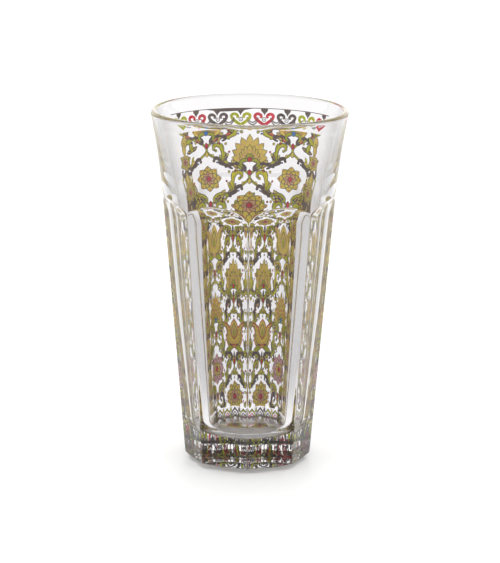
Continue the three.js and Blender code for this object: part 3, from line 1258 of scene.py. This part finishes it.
def tulip(tint="ochre", rim="crimson", core="olive"):
    """A cup of three pointed petals with coloured edges, a band of teeth and rows of dots."""
    shapes = []
    outer = through([(0, -4.5), (4.6, -3.9), (7.4, -0.8), (7.0, 2.6), (9.4, 6.0)], 5)
    inner = through([(9.4, 6.0), (4.8, 4.4), (3.0, 0.8), (0, -1.5)], 5)
    side = np.concatenate([outer, inner[1:]])
    middle = place(petal(10.4, 8.0, 0.72), (0, -3.4))
    shapes += edged(tint, middle, rim, 0.5)
    shapes += edged(tint, place(petal(7.6, 5.0, 0.72), (0, -2.6)), "charcoal", 0.4)
    shapes += edged(core, place(petal(5.0, 2.6, 0.7), (0, -1.6)), "terracotta", 0.5)
    shapes += mirrored(edged(tint, side, rim, 0.55))
    seam = through([(1.2, -3.4), (4.6, -2.6), (6.2, -0.4), (6.4, 2.6), (8.2, 5.0)], 5)
    shapes += mirrored([("charcoal", ribbon(seam, 0.45))])
    for i in range(6):
        at = seam[2 + i * 3] + (-0.9 - 0.12 * i, 0.75)
        shapes += mirrored([(rim, disk(0.36, at, 7)), (core, disk(0.34, at + (1.7, -1.5), 7))])
    for i in range(3):
        tooth = np.array([(i * 1.5, -4.0), (i * 1.5 + 1.3, -3.9), (i * 1.5 + 0.65, -2.6)])
        shapes += mirrored([(rim, tooth)])
    sepal = place(lobed_leaf(7.0, 2.8, 3, 0.4, 0.3), (1.2, -4.8), -80)
    shapes += mirrored(edged("olive", sepal))
    return shapes


print("tulip:", len(tulip()), "shapes")

# %% The rosette


def rosette(radius=5.0, petals=8, tint="pink", eye="ochre", core="crimson"):
    """A round flower of three rings of petals, with a dot on each outer petal."""
    shapes = []
    for size, shift, ink in ((1.0, 0.0, tint), (0.72, 0.5, tint), (0.5, 0.0, eye)):
        wide = radius * size * 5.4 / petals
        for i in range(petals):
            loop = place(petal(radius * size, wide, 0.9), turn=360 / petals * (i + shift))
            shapes += edged(ink, loop, edge=0.26)
    for i in range(petals):
        dot = place(disk(radius * 0.06, (0, radius * 0.86), 7), turn=360 / petals * i)
        shapes.append((core, dot))
    shapes += edged(core, disk(radius * 0.16))
    return shapes


print("rosette:", len(rosette()), "shapes")

# %% Leaves


def leafed(length, width, ink="olive", curve=0.2, lobes=4):
    """A lobed leaf with a light vein, growing upwards."""
    share = np.linspace(0.08, 0.82, 6)
    vein = np.column_stack([curve * share**2, share]) * length
    light = {"olive": "leaf_yellow", "leaf_yellow": "olive", "ochre": "terracotta"}
    leaf = edged(ink, lobed_leaf(length, width, lobes, 0.45, curve))
    return leaf + [(light.get(ink, "ochre"), ribbon(vein, 0.3))]


def acanthus(points, width, ink, teeth=4):
    """A scrolling leaf along a path: toothed on its left, smooth on its right, curled at its tip."""
    path = through(points, 6)
    share = np.linspace(0, 1, len(path))
    body = np.sin(math.pi * np.clip(share, 0.04, 0.97) ** 0.75)
    tooth = (share * teeth) % 1
    left = path + sideways(path) * (width * body * (0.3 + 0.7 * tooth**1.2))[:, None]
    right = path - sideways(path) * (width * 0.34 * body)[:, None]
    leaf = edged(ink, np.concatenate([left, right[::-1]]))
    light = {"olive": "leaf_yellow", "leaf_yellow": "olive"}
    if ink in light:
        leaf.append((light[ink], ribbon(path[2:-3], 0.28)))
    return leaf + edged(ink, disk(0.5, path[-1], 9), edge=0.26)


print("leaf:", len(leafed(5, 3)), "shapes")

# %% Sprays, tendrils and beads


def spray(ink, side_ink, tip="crimson"):
    """A main leaf with two smaller ones at its foot and a berry over its tip."""
    shapes = moved(leafed(4.6, 2.4, side_ink, 0.3), (0.3, 0.4), -58)
    shapes += moved(leafed(4.6, 2.4, side_ink, -0.3), (-0.3, 0.4), 58)
    shapes += leafed(7.0, 3.4, ink, 0.12)
    shapes += edged(tip, disk(0.62, (0.8, 8.3), 10), edge=0.26)
    return shapes


def tendril(start, reach, turns, direction, heading, ink, thick=0.85):
    """A curling tendril that ends in a dot."""
    path = scroll(start, reach, turns, direction, heading)
    stroke = ribbon(path, taper(len(path), thick, 0.35))
    return edged(ink, stroke, edge=0.22) + edged(ink, disk(0.62, path[-1], 10), edge=0.22)


def beads(points, ink, size):
    """Small loose dots."""
    shapes = []
    for u, v in points:
        shapes += edged(ink, disk(size, (u, v), 8), edge=0.2)
    return shapes


# %% One opening of the lattice for each flower
PITCH = (40.5, 25.5)
FIRST_ROW = 19.0
FIELD_LOW = 14.4
FIELD_HIGH = 130.0


def stems():
    """The two wavy stems of one column, from below the field to above it."""
    height = np.arange(FIELD_LOW - 2, FIELD_HIGH + 2, 0.6)
    sway = PITCH[0] / 4 * (1 + np.cos(TAU * (height - FIRST_ROW) / PITCH[1]))
    path = np.column_stack([sway, height])
    return mirrored(edged("olive", ribbon(path, 0.8), edge=0.22))


def opening(flower, first="olive", second="leaf_yellow", curl="charcoal", tip="crimson"):
    """A flower with the scrolling leaves, sprays and beads that fill the corners of its opening."""
    low_leaf = [(12.6, -5.4), (12.2, -2.4), (13.0, 0.6), (15.2, 2.0), (16.8, 0.4), (15.6, -0.6)]
    high_leaf = [(12.2, 5.6), (9.8, 5.4), (7.4, 6.6), (5.6, 8.8), (3.8, 8.8), (3.6, 7.6)]
    foot_leaf = [(8.0, -7.0), (5.8, -6.6), (3.6, -7.2), (2.0, -8.6), (2.2, -9.9), (3.2, -9.6)]
    half = tendril((15.0, 4.2), 8.0, 0.9, 1, 215, tip, 0.75)
    half += tendril((7.4, -9.0), 8.0, 0.85, 1, 8, second, 0.8)
    half += moved(spray(second, curl, tip), (12.4, -5.4), 44, 0.62)
    half += moved(spray("ochre", first, "blue"), (9.6, 8.2), 112, 0.56)
    half += moved(leafed(4.6, 2.5, "ochre", 0.25), (15.6, 4.4), 62)
    half += moved(leafed(3.6, 1.9, curl, 0.2), (3.4, -9.6), -32)
    half += acanthus(low_leaf, 1.75, first)
    half += acanthus(high_leaf, 1.35, curl)
    half += acanthus(foot_leaf, 1.15, second)
    half += beads([(10.0, -2.6), (10.8, 2.4), (6.0, -9.2), (17.2, -2.6)], "ochre", 0.5)
    shapes = mirrored(half)
    shapes += edged("crimson", place(petal(2.6, 1.6, 0.8), (0, -12.2)), edge=0.26)
    shapes += edged("ochre", place(petal(2.4, 1.5, 0.8), (0, 12.0), 180), edge=0.26)
    return shapes + flower


print("opening:", len(opening([])), "shapes round its flower")

# %% Small sprigs that fill the ground, and a garland for the side edges
SPRIG_PITCH = (6.75, 6.375)
SPRIG_TOP = 104.0
GARLAND_PITCH = 12.75
GARLAND_TURN = 104.25


def sprig(ink, side_ink, dot_ink):
    """Three leaflets and two dots, small enough to show only where the ground would be bare."""
    shapes = []
    for turn in (-62, 62):
        leaflet = place(petal(2.6, 1.25, 0.7, 6), turn=turn)
        shapes += edged(side_ink, leaflet, edge=0.18)
    shapes += edged(ink, petal(3.4, 1.4, 0.7, 6), edge=0.18)
    shapes += edged(dot_ink, disk(0.45, (2.2, 2.6), 7), edge=0.16)
    shapes += edged(dot_ink, disk(0.4, (0, -1.2), 7), edge=0.16)
    return shapes


def garland(dense):
    """One length of a side garland: a flower among leaves. The dense kind has a broad leaf."""
    shapes = []
    if dense:
        shapes += moved(leafed(13.4, 8.2, "ochre", 0.0, 6), (0, -6.2))
        for side in (-1, 1):
            streak = np.array([(side * 4.6, -5.6), (side * 5.1, 0.2), (side * 4.5, 5.6)])
            shapes += edged("charcoal", ribbon(streak, 0.5), "ochre", 0.5)
            bract = place(petal(4.0, 2.2, 0.8), (side * 3.7, -6.6), side * -10)
            shapes += edged("terracotta", bract)
    for turn, reach in ((-118, 4.6), (118, 4.6), (-64, 4.4), (64, 4.4)):
        shapes += moved(leafed(reach, 2.6, "olive", 0.1), (0, 0), turn)
    shapes += moved(leafed(6.0, 2.8, "ochre", 0.0), (0, 2.6))
    curl = [(0.4, -3.4), (1.6, -5.2), (3.4, -5.6), (4.2, -4.2), (3.4, -3.4)]
    shapes += mirrored(acanthus(curl, 1.1, "charcoal", 3))
    shapes += rosette(3.6, 8, "ochre", "terracotta")
    return shapes


print("sprig:", len(sprig("olive", "ochre", "crimson")), "shapes, garland:", len(garland(True)))

# %% Strew the sprigs and draw the stems
SPRIG_INKS = (
    ("ochre", "olive", "charcoal"),
    ("olive", "terracotta", "crimson"),
    ("charcoal", "ochre", "olive"),
)
SPRIG_COLUMNS = 7
field_shapes = []
rows = int((SPRIG_TOP - FIELD_LOW) / SPRIG_PITCH[1] / 2)
double = (SPRIG_PITCH[0] * 2, SPRIG_PITCH[1] * 2)
left_edge = -6 * SPRIG_PITCH[0]
for step, inks in enumerate(SPRIG_INKS):
    column = step % 2
    row = step // 2
    rise = (row + column * 0.5) * SPRIG_PITCH[1]
    first = (left_edge + column * SPRIG_PITCH[0], FIELD_LOW + 1 + rise)
    field_shapes += repeated(sprig(*inks), SPRIG_COLUMNS, rows, double, first)
field_shapes += repeated(stems(), 3, 1, PITCH, (-PITCH[0], 0.0))
print("sprigs and stems:", len(field_shapes))

# %% [markdown]
# The rows of openings are numbered from the bottom, half a pitch at a time. Even rows have an opening
# on the middle of the wall, odd rows have one half a column to each side. The flower, and the colours
# of the leaves round it, change from row to row, so that no two rows next to each other look alike.

# %% Fill the lattice


def wide_rosette(radius, petals=8, tint="ochre", eye="terracotta", stretch=1.3):
    """A rosette stretched sideways to fill its opening."""
    return moved(rosette(radius, petals, tint, eye), scale=(stretch, 1))


fan = moved(palmette(), (0, -5.0), 0, (0.84, 0.9))
small_fan = moved(palmette("ochre", "crimson", "blue"), (0, -5.2), 0, (0.78, 0.92))
small_rosette = wide_rosette(5.4, stretch=1.2)
pink_flower = wide_rosette(6.4, 8, "pink", "ochre", 1.25)
cup = moved(tulip(), (0, -0.4), 0, (1.05, 1.0))
openings = {
    -1: opening(small_rosette, "olive", "olive"),
    0: opening(wide_rosette(6.6, 10), "charcoal", "olive"),
    1: opening(pink_flower, "olive", "leaf_yellow", "olive"),
    2: opening(cup, "olive", "charcoal", "olive"),
    3: opening(small_fan, "charcoal", "olive", "leaf_yellow", "olive"),
    4: opening(fan, "leaf_yellow", "olive", "charcoal", "terracotta"),
    5: opening(moved(tulip("ochre", "terracotta")), "olive", "ochre"),
    6: opening(wide_rosette(6.2), "olive", "olive"),
    7: opening(small_rosette, "leaf_yellow", "olive"),
    8: opening(fan, "olive", "charcoal", "olive"),
    9: opening(small_fan, "olive", "charcoal", "crimson", "ochre"),
}
for step, shapes in openings.items():
    height = FIRST_ROW + step * PITCH[1] / 2
    count = 1 if height > GARLAND_TURN else 3
    if step % 2:
        count = 2
    field_shapes += repeated(shapes, count, 1, PITCH, ((1 - count) / 2 * PITCH[0], height))
print("lattice:", len(openings), "rows of openings")

# %% The garlands at the sides, and a crown of leaves over each
CROWN_SCALE = 0.75
GARLANDS = ((True, 35.4, FIELD_LOW, GARLAND_TURN), (False, 34.6, GARLAND_TURN, 126))
for side in (-1, 1):
    crown_spray = spray("olive", "charcoal", "crimson")
    crown = moved(crown_spray, (side * 28.6, 120.6), side * -18, CROWN_SCALE)
    crown += moved(leafed(6.4, 4.6, "ochre", 0.1, 5), (side * 34.6, 122.6), side * 10)
    crown += moved(leafed(4.4, 2.6, "olive", 0.2), (side * 32.6, 124.8), side * 62)
    field_shapes += crown
    for dense, middle, low, high in GARLANDS:
        count = math.ceil((high - low) / GARLAND_PITCH)
        start = (side * middle, low)
        field_shapes += repeated(garland(dense), 1, count, (1, GARLAND_PITCH), start)
print("field shapes:", len(field_shapes))

# %% Cut and lay the field
field = lay_print("field", field_shapes, FIELD_LOW, FIELD_HIGH)
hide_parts("field_print")

# %% [markdown]
# The print ends at the foot in a row of upright tongues with pointed tops, each drawn as nested
# outlines, with a small dart between two of them. Under them runs a fringe of fine bars with a dark
# rope, and ragged streaks go down to the heel. The thick foot draws all of this out into lines.

# %% The border of tongues
TONGUES = 9
TONGUE_PITCH = 2 * PRINT_REACH / TONGUES
TONGUE_LOW = 4.6
BORDER_TOP = 14.2


def tongue(side, shoulder, point):
    """An upright tongue, with a pointed arch for its top."""
    swell = (side * 0.8, shoulder + (point - shoulder) * 0.45)
    arch = through([(side, shoulder), swell, (0, point)], 5)
    half_loop = np.vstack([[(side, TONGUE_LOW)], arch])
    return np.concatenate([half_loop, (half_loop[:-1] * (-1, 1))[::-1]])


def tongue_shapes(outer, middle, inner):
    """Nested tongues over the fringe, with fine upright lines inside."""
    shapes = [
        ("umber", tongue(4.45, 8.6, 13.9)),
        (outer, tongue(4.1, 8.5, 13.4)),
        ("umber", tongue(3.3, 8.3, 12.3)),
        ("bare", tongue(3.05, 8.2, 12.0)),
        (middle, tongue(2.3, 7.9, 11.0)),
        ("bare", tongue(1.4, 7.5, 9.8)),
        (inner, tongue(0.6, 6.8, 8.8)),
    ]
    for aside in (-2.7, -1.0, 1.0, 2.7):
        line = np.array([(aside, 4.7), (aside, 9.4 - abs(aside) * 0.4)])
        shapes.append(("umber", ribbon(line, 0.36)))
    return shapes


TONGUE_INKS = [
    ("olive", "crimson", "umber"),
    ("charcoal", "umber", "umber"),
    ("olive", "umber", "maroon"),
]
print("tongue:", len(tongue_shapes(*TONGUE_INKS[0])), "shapes")

# %% Nine tongues, with darts and dots between them
DART_INKS = ("olive", "charcoal", "ochre")
foot_shapes = []
first = -(TONGUES - 1) / 2 * TONGUE_PITCH
for i, inks in enumerate(TONGUE_INKS):
    start = (first + i * TONGUE_PITCH, 0)
    foot_shapes += repeated(tongue_shapes(*inks), 3, 1, (TONGUE_PITCH * 3, 1), start)
for i in range(-TONGUES // 2 + 1, TONGUES // 2 + 2):
    gap = (i - 0.5) * TONGUE_PITCH
    dart = place(petal(3.5, 2.0, 0.62), (gap, BORDER_TOP), 180)
    foot_shapes += edged(DART_INKS[i % 3], dart, edge=0.22)
    for aside in (-1, 1):
        foot_shapes.append(("umber", disk(0.34, (gap + aside * 1.9, 13.7), 7)))
print("tongues:", TONGUES, "at a pitch of", round(TONGUE_PITCH, 1), "mm")

# %% A fringe of fine bars under the tongues, and ragged streaks down to the heel
BAR_PITCH = 0.72
BAR_LOW = 0.5
FRINGE_LOW = 4.3
FRINGE_HIGH = 7.6
FRINGE_INKS = ["umber", "moss", "umber", "umber", "maroon", "umber", "charcoal"]
STREAK_INKS = ["umber"] * 8 + ["bare"] * 5 + ["maroon", "moss", "charcoal", "maroon", "moss"]
ROPE_HEIGHT = FRINGE_LOW + 1.2
ROPE_INKS = ["moss", "umber", "maroon", "umber"]


chance = np.random.default_rng(7)


def bar(start, end, low, high):
    """An upright bar."""
    return np.array([(start, low), (end, low), (end, high), (start, high)])


def ragged(middle, width, low, high):
    """A streak whose sides wander a little on the way up."""
    heights = np.linspace(low, high, 6)
    path = np.column_stack([middle + chance.uniform(-0.16, 0.16, 6), heights])
    return ribbon(path, width * chance.uniform(0.6, 1.15, 6))


# %% Draw the streaks, the fringe and the rope
bars = np.arange(-PRINT_REACH + 0.5, PRINT_REACH - BAR_PITCH, BAR_PITCH)
for i, start in enumerate(bars):
    low = BAR_LOW + chance.uniform(0, 0.7)
    high = FRINGE_LOW + chance.uniform(-0.4, 0.5)
    width = BAR_PITCH * chance.uniform(0.7, 1.25)
    ink = STREAK_INKS[chance.integers(len(STREAK_INKS))]
    foot_shapes.append((ink, ragged(start + BAR_PITCH / 2, width, low, high)))
for i, start in enumerate(bars):
    ink = FRINGE_INKS[(i // 6) % len(FRINGE_INKS)]
    low = FRINGE_LOW + chance.uniform(-0.3, 0.2)
    high = FRINGE_HIGH - chance.uniform(0, 1.0)
    foot_shapes.append((ink, bar(start, start + BAR_PITCH * 0.68, low, high)))
foot_shapes.append(("umber", ribbon(level_line(ROPE_HEIGHT, 200), 1.1)))
for i, start in enumerate(bars[::3]):
    ink = ROPE_INKS[(i // 4) % 4]
    foot_shapes.append((ink, disk(0.42, (start + BAR_PITCH, ROPE_HEIGHT), 8)))

print("foot shapes:", len(foot_shapes))

# %% Cut and lay the foot border
foot_border = lay_print("foot_border", foot_shapes, BAR_LOW, BORDER_TOP)
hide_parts("foot_border_print")

# %% The glass stands for the plain solid
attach(glass, "root")
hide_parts("glass_body")

# %% [markdown]
# The glass stands on a plain white table in even white light, bright enough that table and
# background run together, and only a narrow soft shadow is left round the foot. In the photograph
# the background was made pure white, but what shows through the glass kept its pale grey. The table
# and the sky do the same from every side: a Light Path node tells sight that has just come through
# the glass from all other light, and that sight meets a paler grey tone. On the table this grey is
# painted shade, darkest far out at the sides, and painted light makes it lighter close to the foot
# and far behind.

# %% The table
FLOOR_REACH = 4.0  # metres to each side
FLOOR_STEPS = 24
TABLE_GAP = 0.1 * MM  # air under the foot
floor_mesh = bpy.data.meshes.new("floor")
floor_line = (np.linspace(-1, 1, FLOOR_STEPS + 1) * FLOOR_REACH).tolist()
floor_points = [(u, v, -TABLE_GAP) for v in floor_line for u in floor_line]
floor_faces = []
for row in range(FLOOR_STEPS):
    for column in range(FLOOR_STEPS):
        corner = row * (FLOOR_STEPS + 1) + column
        beyond_row = corner + FLOOR_STEPS + 1
        floor_faces.append((corner, corner + 1, beyond_row + 1, beyond_row))
floor_mesh.from_pydata(floor_points, [], floor_faces)
floor = bpy.data.objects.new("floor", floor_mesh)
bpy.context.scene.collection.objects.link(floor)
print("table:", 2 * FLOOR_REACH, "m wide")

# %% The table's finish and where on it a point lies
floor_finish = bpy.data.materials.new("white_table")
floor_finish.use_nodes = True
floor_tree = floor_finish.node_tree
floor_shader = floor_tree.nodes["Principled BSDF"]
floor_where = floor_tree.nodes.new("ShaderNodeTexCoord")
floor_split = floor_tree.nodes.new("ShaderNodeSeparateXYZ")
floor_tree.links.new(floor_where.outputs["Object"], floor_split.inputs[0])
floor_x, floor_y = (Field(floor_tree, floor_split.outputs[i]) for i in range(2))


# %% The painted shade that shows through the glass
# Painted shade on the table, seen through the glass only: greyer at the sides, with painted light near
# the foot and far behind.
GLASS_SHADE = 0.52
SIDE_SHADE = 0.28
FAR_PAINTED_LIGHT = 0.17
NEAR_PAINTED_LIGHT = 0.48
TABLE_WHITE = (0.6, 0.6, 0.6, 1)
PAINTED_SHADE_GREY = (0.2, 0.2, 0.2, 1)


def fade(value, start, end):
    """Nought below the start and one above the end, with a smooth change between."""
    node = value.tree.nodes.new("ShaderNodeMapRange")
    node.interpolation_type = "SMOOTHSTEP"
    node.inputs["From Min"].default_value = start
    node.inputs["From Max"].default_value = end
    value.tree.links.new(value.socket, node.inputs["Value"])
    return Field(value.tree, node.outputs[0])


def seen_through_glass(tree):
    """One for sight that has just passed through a clear body, nought for all other light."""
    path = tree.nodes.new("ShaderNodeLightPath")
    passed = Field(tree, path.outputs["Is Transmission Ray"])
    scattered = math_node(tree, "MINIMUM", Field(tree, path.outputs["Diffuse Depth"]), 1.0)
    return passed - passed * scattered


# %% The table's painted shade and painted light from place to place
beside = math_node(floor_tree, "ABSOLUTE", floor_x)
# Painted shade towards the sides; painted light far behind and close to the foot.
sides = fade(beside - floor_y * 0.07, 0.05, 0.12) * SIDE_SHADE
far = fade(floor_y, 0.25, 0.45) * FAR_PAINTED_LIGHT
from_axis = math_node(floor_tree, "SQRT", floor_x * floor_x + floor_y * floor_y)
near = (fade(from_axis, 0.04, 0.1) * -1.0 + 1.0) * NEAR_PAINTED_LIGHT
painted_shade = seen_through_glass(floor_tree) * (sides - far - near + GLASS_SHADE)
floor_tone = floor_tree.nodes.new("ShaderNodeMix")
floor_tone.data_type = "RGBA"
floor_tone.inputs["A"].default_value = TABLE_WHITE
floor_tone.inputs["B"].default_value = PAINTED_SHADE_GREY
floor_tree.links.new(painted_shade.socket, floor_tone.inputs["Factor"])
floor_tree.links.new(floor_tone.outputs["Result"], floor_shader.inputs["Base Color"])
floor_shader.inputs["Roughness"].default_value = 0.6
add_bump(floor_tree, floor_shader, noise_node(floor_tree, 900.0), 0.02 * MM)
floor_mesh.materials.append(floor_finish)
print("white_table:", len(floor_tree.nodes), "nodes")

# %% The light of the room
STUDIO_LIGHT = 2.0
BACKDROP_LIGHT = 0.9
world = bpy.data.worlds.new("studio")
bpy.context.scene.world = world
world.use_nodes = True
sky = world.node_tree
sky_shader = sky.nodes["Background"]
sky_strength = seen_through_glass(sky) * (BACKDROP_LIGHT - STUDIO_LIGHT) + STUDIO_LIGHT
sky.links.new(sky_strength.socket, sky_shader.inputs["Strength"])
sky_shader.inputs["Color"].default_value = (1, 1, 1, 1)

scene = bpy.context.scene
scene.view_settings.view_transform = "Standard"
scene.cycles.max_bounces = 32  # light crosses many walls of glass before it reaches the eye
scene.cycles.transmission_bounces = 32
scene.cycles.glossy_bounces = 16
print("light:", STUDIO_LIGHT, "in the room,", BACKDROP_LIGHT, "through the glass")
